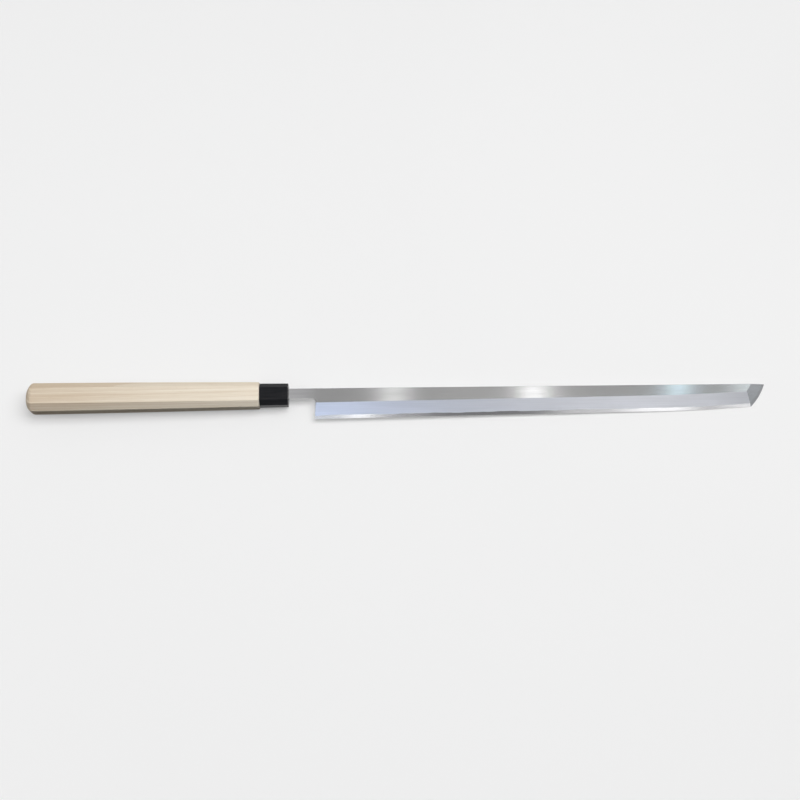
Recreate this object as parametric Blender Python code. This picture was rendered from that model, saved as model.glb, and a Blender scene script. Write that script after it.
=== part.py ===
"""Tuna knife: a long single-bevel slicer with a sword-like tip, on an octagonal wooden handle.

Metres. +X runs from the butt of the handle to the point, +Y towards the spine, and +Z out of the
bevelled face. The sizes below are laid out from the butt, on the handle's own axis. At the end one
empty moves the knife so that the origin lies under the middle of its box, at its lowest face.
"""

import math

import bmesh
import bpy
from mathutils import Vector

MM = 0.001

# Blade, seen from its side
BLADE_LENGTH = 480 * MM         # edge corner of the heel to the point
HEEL_HEIGHT = 32.6 * MM         # spine to edge at the heel
SPINE_ABOVE_AXIS = 6.85 * MM    # spine at the neck, over the axis of the handle
SPINE_DROP = 1.4 * MM           # the spine sinks this far by the point
EDGE_RISE = 3.9 * MM            # the straight edge climbs this far over the whole blade
BELLY_LENGTH = 105 * MM         # last stretch of the edge, which curves up to the tip's corner
BELLY_RISE = 2.7 * MM
TIP_LENGTH = 16 * MM            # corner at the end of the edge to the point
TIP_RADIUS = 65 * MM            # arc of the tip's own edge
HEEL_SLANT = 1.1 * MM           # the heel leans forward by this much at the neck
CHOIL_RADIUS = 3.7 * MM         # inside corner between neck and heel

# Blade, across its thickness
HEEL_THICKNESS = 4.8 * MM       # spine at the heel, and the neck
SPINE_EASE = 0.35 * MM          # small flat that breaks the edges of spine and neck
TIP_THICKNESS = 2.4 * MM        # spine at the point, before the tip is ground
BEVEL_WIDTH = 16.8 * MM         # ridge line to edge
TIP_ANGLE = math.radians(10.3)  # bevel of the tip, to the back
TIP_OVERRUN = math.radians(15)  # the cone that grinds the tip turns this far past both ends of its arc
STEEL_AT_HEEL = 1.0 * MM        # hard steel layer on the back
STEEL_AT_TIP = 0.5 * MM
STEEL_IN_NECK = 8 * MM          # the hard steel ends this far behind the heel
WELD_GAP = 0.02 * MM            # between the two welded layers

# Hollow ground into the back
WHEEL_RADIUS = 220 * MM
EDGE_RIM = 2.5 * MM             # flat left along the edge
SPINE_RIM = 3 * MM              # flat left along the spine
HEEL_RIM = 7 * MM               # flat left at the heel
TIP_RIM = 9 * MM                # flat left before the corner of the tip
RUN_OUT = 26 * MM               # the wheel lifts over this length at both ends
ARC_OVERRUN = 1.15              # the cutter's arc is wider than the hollow by this factor

# Neck and tang
NECK_LENGTH = 28.1 * MM         # ferrule to heel
NECK_HEIGHT = 11.1 * MM
TANG_LENGTH = 140 * MM          # from the front of the ferrule
TANG_HEIGHT = 9 * MM            # behind the ferrule's front wall
TANG_END_HEIGHT = 5 * MM
TANG_END_THICKNESS = 2.6 * MM
TANG_NOSE = 4 * MM              # blunt point at the end of the tang

# Handle
HANDLE_LENGTH = 249 * MM        # butt to the shoulder behind the ferrule
BUTT_WIDTH = 31 * MM            # across the spine's direction
BUTT_DEPTH = 28.5 * MM          # across the blade's faces
BUTT_CHAMFER = 7 * MM           # leg of the octagon's corner cuts
FRONT_WIDTH = 27 * MM
FRONT_DEPTH = 23.5 * MM
FRONT_CHAMFER = 5.6 * MM
HANDLE_SWELL = 0.2 * MM         # the long faces bulge by this much at the middle
BUTT_DOME = 9.1 * MM            # depth of the rounded butt
DOME_END = math.radians(86)     # the dome's quarter ellipse stops here, at a small flat
DOME_SOFTNESS = 0.95            # share of the octagon's short sides that is rounded away at the end
WOOD_ROUNDING = 0.8 * MM        # long edges of the octagon
RIM_CHAMFER = 1 * MM            # front edge of the wood

# Ferrule
FERRULE_LENGTH = 30.2 * MM
FERRULE_BACK_WIDTH = 24.2 * MM
FERRULE_BACK_DEPTH = 20.6 * MM
FERRULE_FRONT_WIDTH = 23.6 * MM
FERRULE_FRONT_DEPTH = 20 * MM
FERRULE_CHAMFER = 5.1 * MM
FERRULE_ROUNDING = 0.6 * MM     # long edges and front edge
FERRULE_WALL = 2 * MM           # thinnest wall, at the front of the bore
FERRULE_CAP = 6 * MM            # solid front wall

FIT_GAP = 0.3 * MM              # clearance between pieces that seat in each other
SPARE = 3 * MM                  # cutters reach this far past what they cut

# Fineness of the curves
CORNER_STEPS = 4
DOME_STEPS = 10
HANDLE_STEPS = 8
CHOIL_STEPS = 8
STRAIGHT_STEPS = 20
BELLY_STEPS = 20
TIP_STEPS = 30
HOLLOW_STEPS = 24
RUN_OUT_STEPS = 8
ARC_STEPS = 12

# Places along the knife
X_FERRULE_BACK = HANDLE_LENGTH + FIT_GAP
X_FERRULE_FRONT = X_FERRULE_BACK + FERRULE_LENGTH
X_CAP = X_FERRULE_FRONT - FERRULE_CAP
X_TANG_END = X_FERRULE_FRONT - TANG_LENGTH
X_HEEL = X_FERRULE_FRONT + NECK_LENGTH
X_POINT = X_HEEL + BLADE_LENGTH
X_CORNER = X_POINT - TIP_LENGTH
X_BELLY = X_CORNER - BELLY_LENGTH

# Places across the knife
Z_BACK = -HEEL_THICKNESS / 2
NECK_LOW = SPINE_ABOVE_AXIS - NECK_HEIGHT
NECK_MID = SPINE_ABOVE_AXIS - NECK_HEIGHT / 2
Y_HEEL_EDGE = SPINE_ABOVE_AXIS - HEEL_HEIGHT
BORE_RADIUS = FERRULE_FRONT_DEPTH / 2 - FERRULE_WALL
TENON_RADIUS = BORE_RADIUS - FIT_GAP


def mix(start, end, share):
    return start + (end - start) * share


def along_blade(x):
    """0 at the heel, 1 at the point."""
    return (x - X_HEEL) / BLADE_LENGTH


def spine_y(x):
    return SPINE_ABOVE_AXIS - SPINE_DROP * max(0.0, along_blade(x))


def edge_y(x):
    belly = BELLY_RISE * (max(0.0, x - X_BELLY) / BELLY_LENGTH) ** 2
    return Y_HEEL_EDGE + EDGE_RISE * along_blade(x) + belly


def ridge_y(x):
    return edge_y(x) + BEVEL_WIDTH


def face_z(x):
    """Flat face of the blade, above the ridge line."""
    thickness = mix(HEEL_THICKNESS, TIP_THICKNESS, max(0.0, along_blade(x)))
    return Z_BACK + thickness


def steel_z(x):
    """Plane where the hard steel meets the soft iron."""
    return Z_BACK + mix(STEEL_AT_HEEL, STEEL_AT_TIP, along_blade(x))


def inside_handle(x):
    """0 at the front of the ferrule, 1 at the end of the tang."""
    return min(1.0, max(0.0, (X_FERRULE_FRONT - x) / TANG_LENGTH))


def tang_height(x):
    if x >= X_CAP:
        return mix(NECK_HEIGHT, TANG_HEIGHT, min(1.0, max(0.0, (X_FERRULE_FRONT - x) / FERRULE_CAP)))
    return mix(TANG_HEIGHT, TANG_END_HEIGHT, min(1.0, (X_CAP - x) / (X_CAP - X_TANG_END)))


def tang_mid(x):
    return mix(NECK_MID, 0.0, inside_handle(x))


def tang_half_thickness(x):
    return mix(HEEL_THICKNESS, TANG_END_THICKNESS, inside_handle(x)) / 2


def material(name, colour, roughness, metallic=0.0):
    made = bpy.data.materials.new(name)
    made.use_nodes = True
    shader = made.node_tree.nodes["Principled BSDF"]
    shader.inputs["Base Color"].default_value = (*colour, 1.0)
    shader.inputs["Roughness"].default_value = roughness
    shader.inputs["Metallic"].default_value = metallic
    return made


def add_object(name, bm, finish=None):
    """Turn a closed bmesh into an object. Without a finish it is a cutter, left out of the model.

    The faces of a cutter can be twisted, so they are split into triangles before anything is cut.
    """
    bmesh.ops.recalc_face_normals(bm, faces=bm.faces)
    if finish is None:
        bmesh.ops.triangulate(bm, faces=bm.faces)
    mesh = bpy.data.meshes.new(name)
    bm.to_mesh(mesh)
    bm.free()
    made = bpy.data.objects.new(name, mesh)
    bpy.context.scene.collection.objects.link(made)
    if finish is None:
        made.hide_render = True
        made.display_type = "WIRE"
        return made
    mesh.materials.append(finish)
    mesh.shade_smooth()
    mesh.set_sharp_from_angle(angle=math.radians(20))
    return made


def skin(rings):
    """Closed body over rings of points that all have the same count, with flat ends."""
    bm = bmesh.new()
    rows = [[bm.verts.new(point) for point in ring] for ring in rings]
    for near, far in zip(rows, rows[1:]):
        for i in range(len(near)):
            j = (i + 1) % len(near)
            bm.faces.new((near[i], near[j], far[j], far[i]))
    bm.faces.new(rows[0])
    bm.faces.new(rows[-1])
    return bm


def cut(body, cutter, operation="DIFFERENCE"):
    step = body.modifiers.new(cutter.name, "BOOLEAN")
    step.operation = operation
    step.solver = "EXACT"
    step.object = cutter


def octagon(x, width, depth, chamfer, rounding, inset=0.0):
    """Ring round an octagon at x, drawn in by the inset, each of its eight corners a short arc."""
    half_y = width / 2 - inset
    half_z = depth / 2 - inset
    leg = chamfer - (2 - math.sqrt(2)) * inset
    first = [(half_y, half_z - leg), (half_y - leg, half_z)]
    second = [(-y, z) for y, z in reversed(first)]
    corners = first + second + [(-y, -z) for y, z in first + second]
    eighth = math.pi / 4
    ring = []
    for index, (y, z) in enumerate(corners):
        middle = (index + 0.5) * eighth
        reach = rounding / math.cos(eighth / 2)
        centre_y = y - reach * math.cos(middle)
        centre_z = z - reach * math.sin(middle)
        for step in range(CORNER_STEPS + 1):
            angle = (index + step / CORNER_STEPS) * eighth
            ring.append((x, centre_y + rounding * math.cos(angle), centre_z + rounding * math.sin(angle)))
    return ring


def circle(x, radius):
    """Ring with as many points as an octagon's, in step with it."""
    count = 8 * (CORNER_STEPS + 1)
    angles = [(i + 0.5) * 2 * math.pi / count for i in range(count)]
    return [(x, radius * math.cos(angle), radius * math.sin(angle)) for angle in angles]


def fillet(before, corner, after, radius, steps):
    """Arc of points that rounds a corner of an outline."""
    back = (Vector(before) - Vector(corner)).normalized()
    ahead = (Vector(after) - Vector(corner)).normalized()
    half_angle = back.angle(ahead) / 2
    bisector = (back + ahead).normalized()
    centre = Vector(corner) + bisector * (radius / math.sin(half_angle))
    start = Vector(corner) + back * (radius / math.tan(half_angle)) - centre
    end = Vector(corner) + ahead * (radius / math.tan(half_angle)) - centre
    turn = start.angle(end)
    arc = []
    for i in range(steps + 1):
        swept = turn * i / steps
        spoke = (start * math.sin(turn - swept) + end * math.sin(swept)) / math.sin(turn)
        arc.append(tuple(centre + spoke))
    return arc


def blade_outline():
    """Side view of the forging, left full along the edge and the tip for grinding."""
    low = Y_HEEL_EDGE - SPARE
    slope = HEEL_SLANT / (HEEL_HEIGHT - NECK_HEIGHT)
    neck_front = (X_FERRULE_FRONT, NECK_LOW)
    inside_corner = (X_HEEL + HEEL_SLANT, NECK_LOW)
    heel_low = (X_HEEL - slope * SPARE, low)
    nose_x = X_TANG_END + TANG_NOSE
    upper = [
        (X_TANG_END, tang_mid(X_TANG_END) + TANG_END_HEIGHT / 4),
        (nose_x, tang_mid(nose_x) + tang_height(nose_x) / 2),
        (X_CAP, tang_mid(X_CAP) + TANG_HEIGHT / 2),
        (X_FERRULE_FRONT, SPINE_ABOVE_AXIS),
        (X_HEEL, SPINE_ABOVE_AXIS),
        (X_POINT + SPARE, spine_y(X_POINT + SPARE)),
    ]
    lower = [
        (X_POINT + SPARE, low),
        heel_low,
        *fillet(heel_low, inside_corner, neck_front, CHOIL_RADIUS, CHOIL_STEPS),
        neck_front,
        (X_CAP, tang_mid(X_CAP) - TANG_HEIGHT / 2),
        (nose_x, tang_mid(nose_x) - tang_height(nose_x) / 2),
        (X_TANG_END, tang_mid(X_TANG_END) - TANG_END_HEIGHT / 4),
    ]
    return upper + lower


def is_eased(edge):
    """True for the long edges of the spine, the neck and the choil, on both faces."""
    lowest = NECK_LOW - 1.5 * CHOIL_RADIUS
    start, end = edge.verts
    level = abs(start.co.z - end.co.z) < FIT_GAP
    return level and all(vert.co.x > X_CAP - FIT_GAP and vert.co.y > lowest for vert in edge.verts)


def forging():
    """The outline given its thickness: even in the neck, tapered along the blade and the tang."""
    bm = bmesh.new()
    bm.faces.new([bm.verts.new((x, y, Z_BACK)) for x, y in blade_outline()])
    raised = bmesh.ops.extrude_face_region(bm, geom=bm.faces[:])
    for vert in raised["geom"]:
        if isinstance(vert, bmesh.types.BMVert):
            vert.co.z = -Z_BACK
    eased = [edge for edge in bm.edges if is_eased(edge)]
    bmesh.ops.bevel(bm, geom=eased, offset=SPINE_EASE, segments=1, affect="EDGES")
    for x in (X_CAP, X_FERRULE_FRONT, X_HEEL):
        everything = bm.verts[:] + bm.edges[:] + bm.faces[:]
        bmesh.ops.bisect_plane(bm, geom=everything, plane_co=(x, 0, 0), plane_no=(1, 0, 0), dist=1e-7)
    for vert in bm.verts:
        if vert.co.x < X_FERRULE_FRONT:
            vert.co.z *= tang_half_thickness(vert.co.x) / tang_half_thickness(X_FERRULE_FRONT)
        elif vert.co.z > 0:
            vert.co.z += face_z(vert.co.x) - face_z(X_HEEL)
    return bm


def edge_stations():
    """Places along the edge: evenly spaced on the straight, closer on the belly."""
    straight = [mix(X_HEEL - SPARE, X_BELLY, i / STRAIGHT_STEPS) for i in range(STRAIGHT_STEPS)]
    belly = [mix(X_BELLY, X_POINT + 2 * SPARE, i / BELLY_STEPS) for i in range(BELLY_STEPS + 1)]
    return straight + belly


def bevel_grind():
    """Takes the bevel off: all that lies over the plane from the ridge line to the edge."""
    low = Y_HEEL_EDGE - 2 * SPARE
    high_z = face_z(X_HEEL) + 2 * SPARE
    rings = []
    for x in edge_stations():
        slope = (face_z(x) - Z_BACK) / BEVEL_WIDTH
        top_y = ridge_y(x) + 2 * SPARE
        rings.append([
            (x, top_y, Z_BACK + slope * (top_y - edge_y(x))),
            (x, low, Z_BACK + slope * (low - edge_y(x))),
            (x, low, high_z),
            (x, top_y, high_z),
        ])
    return skin(rings)


def tip_grind():
    """Takes the tip's bevel off: a cone round the centre of the tip's arc."""
    corner = Vector((X_CORNER, edge_y(X_CORNER)))
    point = Vector((X_POINT, spine_y(X_POINT) - SPINE_EASE))
    chord = point - corner
    to_centre = math.sqrt(TIP_RADIUS ** 2 - chord.length_squared / 4)
    centre = (corner + point) / 2 + Vector((-chord.y, chord.x)).normalized() * to_centre
    start = math.atan2(corner.y - centre.y, corner.x - centre.x) - TIP_OVERRUN
    sweep = 2 * math.asin(chord.length / 2 / TIP_RADIUS) + 2 * TIP_OVERRUN
    slope = math.tan(TIP_ANGLE)
    high_z = face_z(X_HEEL) + SPARE
    inner = TIP_RADIUS - (high_z - Z_BACK) / slope
    outer = TIP_RADIUS + TIP_LENGTH + SPARE
    rings = []
    for i in range(TIP_STEPS + 1):
        angle = start + sweep * i / TIP_STEPS
        ring = []
        for radius, z in (
            (inner, high_z),
            (outer, Z_BACK - slope * (outer - TIP_RADIUS)),
            (outer, high_z),
        ):
            ring.append((centre.x + radius * math.cos(angle), centre.y + radius * math.sin(angle), z))
        rings.append(ring)
    return skin(rings)


def hollow_grind():
    """Takes the hollow out of the back: the arc of a wheel, which lifts out at heel and tip."""
    start = X_HEEL + HEEL_RIM
    end = X_CORNER - TIP_RIM
    lift = [mix(-SPARE / 2, RUN_OUT, (i / RUN_OUT_STEPS) ** 2) for i in range(RUN_OUT_STEPS + 1)]
    middle = [mix(start + RUN_OUT, end - RUN_OUT, i / HOLLOW_STEPS) for i in range(1, HOLLOW_STEPS)]
    stations = [start + s for s in lift] + middle + [end - s for s in reversed(lift)]
    rings = []
    for x in stations:
        low = edge_y(x) + EDGE_RIM
        high = spine_y(x) - SPINE_RIM
        half = (high - low) / 2
        inward = min(1.0, (x - start) / RUN_OUT, (end - x) / RUN_OUT)
        depth = (WHEEL_RADIUS - math.sqrt(WHEEL_RADIUS ** 2 - half ** 2)) * (1 - (1 - inward) ** 2)
        ring = []
        for i in range(ARC_STEPS + 1):
            offset = half * ARC_OVERRUN * (2 * i / ARC_STEPS - 1)
            sag = WHEEL_RADIUS - math.sqrt(WHEEL_RADIUS ** 2 - offset ** 2)
            ring.append((x, (low + high) / 2 + offset, Z_BACK + depth - sag))
        ring.append((x, high + SPINE_RIM / 2, Z_BACK - SPARE))
        ring.append((x, low - EDGE_RIM / 2, Z_BACK - SPARE))
        rings.append(ring)
    return skin(rings)


def steel_layer(gap):
    """Block that holds the hard steel's layer, smaller by the gap where it meets the iron."""
    low = Y_HEEL_EDGE - 2 * SPARE
    high = SPINE_ABOVE_AXIS + SPARE
    rings = []
    for x in (X_HEEL - STEEL_IN_NECK + gap, X_POINT + 2 * SPARE):
        top = steel_z(x) - gap
        rings.append([(x, low, Z_BACK - SPARE), (x, high, Z_BACK - SPARE), (x, high, top), (x, low, top)])
    return skin(rings)


def tang_pocket():
    """The tang with its clearance all round, for the slot in the ferrule and the pocket in the wood."""
    rings = []
    for x in (X_FERRULE_FRONT + SPARE, X_FERRULE_FRONT, X_CAP, X_TANG_END - FIT_GAP):
        half_y = tang_height(x) / 2 + FIT_GAP
        half_z = tang_half_thickness(x) + FIT_GAP
        mid = tang_mid(x)
        rings.append([
            (x, mid - half_y, -half_z),
            (x, mid + half_y, -half_z),
            (x, mid + half_y, half_z),
            (x, mid - half_y, half_z),
        ])
    return skin(rings)


def handle_ring(x, inset=0.0):
    share = (x - BUTT_DOME) / (HANDLE_LENGTH - BUTT_DOME)
    swell = 2 * HANDLE_SWELL * 4 * share * (1 - share)
    width = mix(BUTT_WIDTH, FRONT_WIDTH, share) + swell
    depth = mix(BUTT_DEPTH, FRONT_DEPTH, share) + swell
    chamfer = mix(BUTT_CHAMFER, FRONT_CHAMFER, share)
    return octagon(x, width, depth, chamfer, WOOD_ROUNDING, inset)


def dome_ring(angle):
    """Ring of the butt, at an angle up its quarter ellipse. The corners soften towards the end."""
    scale = math.cos(angle)
    softest = DOME_SOFTNESS * (BUTT_CHAMFER / math.sqrt(2)) / math.tan(math.pi / 8)
    rounding = mix(WOOD_ROUNDING, softest, math.sin(angle) ** 2) * scale
    x = BUTT_DOME * (1 - math.sin(angle))
    return octagon(x, BUTT_WIDTH * scale, BUTT_DEPTH * scale, BUTT_CHAMFER * scale, rounding)


def handle_body():
    dome = [dome_ring(DOME_END * i / DOME_STEPS) for i in range(DOME_STEPS, 0, -1)]
    x_rim = HANDLE_LENGTH - RIM_CHAMFER
    faces = [handle_ring(mix(BUTT_DOME, x_rim, i / HANDLE_STEPS)) for i in range(HANDLE_STEPS + 1)]
    x_tenon = X_CAP - FIT_GAP
    tenon = [
        circle(HANDLE_LENGTH, TENON_RADIUS),
        circle(x_tenon - RIM_CHAMFER / 2, TENON_RADIUS),
        circle(x_tenon, TENON_RADIUS - RIM_CHAMFER / 2),
    ]
    return skin(dome + faces + [handle_ring(HANDLE_LENGTH, RIM_CHAMFER)] + tenon)


def ferrule_ring(x, inset=0.0):
    share = (x - X_FERRULE_BACK) / FERRULE_LENGTH
    width = mix(FERRULE_BACK_WIDTH, FERRULE_FRONT_WIDTH, share)
    depth = mix(FERRULE_BACK_DEPTH, FERRULE_FRONT_DEPTH, share)
    return octagon(x, width, depth, FERRULE_CHAMFER, FERRULE_ROUNDING, inset)


def ferrule_body():
    """From the floor of the bore, out round the back rim and along the outside to the front."""
    bore = [circle(X_CAP, BORE_RADIUS), circle(X_FERRULE_BACK, BORE_RADIUS)]
    rim = []
    for i in range(CORNER_STEPS + 1):
        angle = math.pi / 2 * i / CORNER_STEPS
        x = X_FERRULE_FRONT - FERRULE_ROUNDING * (1 - math.sin(angle))
        rim.append(ferrule_ring(x, FERRULE_ROUNDING * (1 - math.cos(angle))))
    return skin(bore + [ferrule_ring(X_FERRULE_BACK)] + rim)


def build_knife():
    iron = material("soft_iron", (0.55, 0.56, 0.58), 0.28, 1.0)
    steel = material("hard_steel", (0.68, 0.69, 0.72), 0.16, 1.0)
    horn = material("black_horn", (0.018, 0.017, 0.018), 0.3)
    wood = material("pale_wood", (0.74, 0.63, 0.47), 0.55)

    bevel_cutter = add_object("bevel_grind", bevel_grind())
    tip_cutter = add_object("tip_grind", tip_grind())
    hollow_cutter = add_object("hollow_grind", hollow_grind())
    iron_cutter = add_object("steel_seat", steel_layer(0.0))
    steel_cutter = add_object("steel_layer", steel_layer(WELD_GAP))
    pocket_cutter = add_object("tang_pocket", tang_pocket())

    blade_core = add_object("blade_core", forging(), iron)
    edge_steel = add_object("edge_steel", forging(), steel)
    for layer in (blade_core, edge_steel):
        cut(layer, bevel_cutter)
        cut(layer, tip_cutter)
        cut(layer, hollow_cutter)
    cut(blade_core, iron_cutter)
    cut(edge_steel, steel_cutter, "INTERSECT")

    handle = add_object("handle", handle_body(), wood)
    ferrule = add_object("ferrule", ferrule_body(), horn)
    cut(handle, pocket_cutter)
    cut(ferrule, pocket_cutter)

    knife = bpy.data.objects.new("knife", None)
    bpy.context.scene.collection.objects.link(knife)
    knife.location = (-X_POINT / 2, -(BUTT_WIDTH / 2 + Y_HEEL_EDGE) / 2, BUTT_DEPTH / 2)
    for made in bpy.data.objects:
        if made is not knife:
            made.parent = knife


for old in list(bpy.data.objects):
    bpy.data.objects.remove(old, do_unlink=True)
build_knife()
bpy.context.view_layer.update()
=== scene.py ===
"""Looks of the tuna knife: finer meshes and finishes for its four pieces, with floor, light and camera.

Metres, in the row frame. The meshes are laid out from the butt on the handle's own axis, with the same
sizes as the part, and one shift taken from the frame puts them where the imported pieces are.
"""

import math

import bmesh
import bpy
from mathutils import Matrix, Vector


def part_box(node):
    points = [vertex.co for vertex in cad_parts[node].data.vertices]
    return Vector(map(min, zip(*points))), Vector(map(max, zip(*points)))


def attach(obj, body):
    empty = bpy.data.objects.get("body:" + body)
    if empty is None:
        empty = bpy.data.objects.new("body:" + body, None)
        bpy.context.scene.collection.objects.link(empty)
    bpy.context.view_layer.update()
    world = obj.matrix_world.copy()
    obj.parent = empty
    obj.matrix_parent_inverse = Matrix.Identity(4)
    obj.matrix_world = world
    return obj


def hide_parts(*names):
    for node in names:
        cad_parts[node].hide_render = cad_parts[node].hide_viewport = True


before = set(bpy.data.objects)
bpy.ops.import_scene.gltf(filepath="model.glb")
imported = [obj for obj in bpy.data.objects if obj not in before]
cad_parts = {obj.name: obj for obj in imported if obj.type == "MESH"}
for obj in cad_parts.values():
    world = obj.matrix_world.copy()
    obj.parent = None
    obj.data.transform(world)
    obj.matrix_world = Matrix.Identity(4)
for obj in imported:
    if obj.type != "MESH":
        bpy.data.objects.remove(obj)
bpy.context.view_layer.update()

MM = 0.001

# Blade, seen from its side
BLADE_LENGTH = 480 * MM
HEEL_HEIGHT = 32.6 * MM
SPINE_ABOVE_AXIS = 6.85 * MM
SPINE_DROP = 1.4 * MM
EDGE_RISE = 3.9 * MM
BELLY_LENGTH = 105 * MM
BELLY_RISE = 2.7 * MM
TIP_LENGTH = 16 * MM
TIP_RADIUS = 65 * MM
HEEL_SLANT = 1.1 * MM
CHOIL_RADIUS = 3.7 * MM

# Blade, across its thickness
HEEL_THICKNESS = 4.8 * MM
TIP_THICKNESS = 2.4 * MM
SPINE_EASE = 0.35 * MM
BEVEL_WIDTH = 16.8 * MM
TIP_ANGLE = math.radians(10.3)
STEEL_AT_HEEL = 1.0 * MM
STEEL_AT_TIP = 0.5 * MM
STEEL_IN_NECK = 8 * MM

# Hollow of the back
WHEEL_RADIUS = 220 * MM
EDGE_RIM = 2.5 * MM
SPINE_RIM = 3 * MM
HEEL_RIM = 7 * MM
HEEL_KNEE = 2 * MM              # the back's rows run straight this far past the heel, then to the hollow
TIP_RIM = 9 * MM
RUN_OUT = 26 * MM

# Waves of the line where the two layers show on the bevel: height, length, phase
WELD_WAVES = (
    (0.20 * MM, 83 * MM, 0.6),
    (0.14 * MM, 37 * MM, 2.3),
    (0.10 * MM, 17 * MM, 4.1),
    (0.05 * MM, 9 * MM, 1.2),
)

# Neck and tang
NECK_LENGTH = 28.1 * MM
NECK_HEIGHT = 11.1 * MM
TANG_LENGTH = 140 * MM
TANG_HEIGHT = 9 * MM
TANG_END_HEIGHT = 5 * MM
TANG_END_THICKNESS = 2.6 * MM
TANG_NOSE = 4 * MM
NOSE_SHARE = 0.5                # height of the blunt end, as a share of the tang's there

# Handle
HANDLE_LENGTH = 249 * MM
BUTT_WIDTH = 31 * MM
BUTT_DEPTH = 28.5 * MM
BUTT_CHAMFER = 7 * MM
FRONT_WIDTH = 27 * MM
FRONT_DEPTH = 23.5 * MM
FRONT_CHAMFER = 5.6 * MM
HANDLE_SWELL = 0.2 * MM
BUTT_DOME = 9.1 * MM
DOME_END = math.radians(86)
DOME_SOFTNESS = 0.95
WOOD_ROUNDING = 0.8 * MM
RIM_CHAMFER = 1 * MM

# Ferrule
FERRULE_LENGTH = 30.2 * MM
FERRULE_BACK_WIDTH = 24.2 * MM
FERRULE_BACK_DEPTH = 20.6 * MM
FERRULE_FRONT_WIDTH = 23.6 * MM
FERRULE_FRONT_DEPTH = 20 * MM
FERRULE_CHAMFER = 5.1 * MM
FERRULE_ROUNDING = 0.6 * MM
FERRULE_WALL = 2 * MM
FERRULE_CAP = 6 * MM

FIT_GAP = 0.3 * MM              # wood behind the ferrule, and round the tenon
SLOT_GAP = 0.12 * MM            # round the neck and the tang
SLOT_CHAMFER = 0.5 * MM         # corners of the slot and the pocket
SLOT_ROUNDING = 0.2 * MM

# Fineness
CORNER_STEPS = 6
DOME_STEPS = 26
HANDLE_STEPS = 30
RIM_STEPS = 5
EDGE_ROWS = 4                   # rows of the blade's grid, from the edge to the weld line
BEVEL_ROWS = 8
CHOIL_ROWS = 10
FLAT_ROWS = 7
HEEL_COLUMNS = 6
RUN_OUT_COLUMNS = 9
HOLLOW_COLUMNS = 160
TIP_RUN_COLUMNS = 6
FACET_COLUMNS = 10
FACET_RIM_COLUMNS = 4
MERGE_REACH = 0.002 * MM        # closer points become one, and faces smaller than its square go
HALVINGS = 60                   # of the range in which a crossing is looked for
HEEL_ROUNDS = 6                 # until a row's start on the heel stays where it is

# Places along the knife
X_FERRULE_BACK = HANDLE_LENGTH + FIT_GAP
X_FERRULE_FRONT = X_FERRULE_BACK + FERRULE_LENGTH
X_CAP = X_FERRULE_FRONT - FERRULE_CAP
X_TANG_END = X_FERRULE_FRONT - TANG_LENGTH
X_TANG_NOSE = X_TANG_END + TANG_NOSE
X_HEEL = X_FERRULE_FRONT + NECK_LENGTH
X_STEEL_END = X_HEEL - STEEL_IN_NECK
X_POINT = X_HEEL + BLADE_LENGTH
X_CORNER = X_POINT - TIP_LENGTH
X_BELLY = X_CORNER - BELLY_LENGTH
X_HOLLOW_START = X_HEEL + HEEL_RIM
X_HOLLOW_END = X_CORNER - TIP_RIM

# Places across the knife
Z_BACK = -HEEL_THICKNESS / 2
NECK_LOW = SPINE_ABOVE_AXIS - NECK_HEIGHT
NECK_MID = SPINE_ABOVE_AXIS - NECK_HEIGHT / 2
Y_HEEL_EDGE = SPINE_ABOVE_AXIS - HEEL_HEIGHT
BORE_RADIUS = FERRULE_FRONT_DEPTH / 2 - FERRULE_WALL
TENON_RADIUS = BORE_RADIUS - FIT_GAP

# From the handle's axis at the butt to the row frame
WOOD_LOW, WOOD_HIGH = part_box("handle")
SHIFT = Vector((
    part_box("edge_steel")[1].x - X_POINT,
    (WOOD_LOW.y + WOOD_HIGH.y) / 2,
    (WOOD_LOW.z + WOOD_HIGH.z) / 2,
))


def mix(start, end, share):
    return start + (end - start) * share


def clamp(value, low, high):
    return max(low, min(high, value))


def bisect(lower, upper, sign_at):
    """The place between lower and upper where sign_at turns from negative to positive."""
    for _ in range(HALVINGS):
        middle = (lower + upper) / 2
        if sign_at(middle) < 0:
            lower = middle
        else:
            upper = middle
    return (lower + upper) / 2


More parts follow.
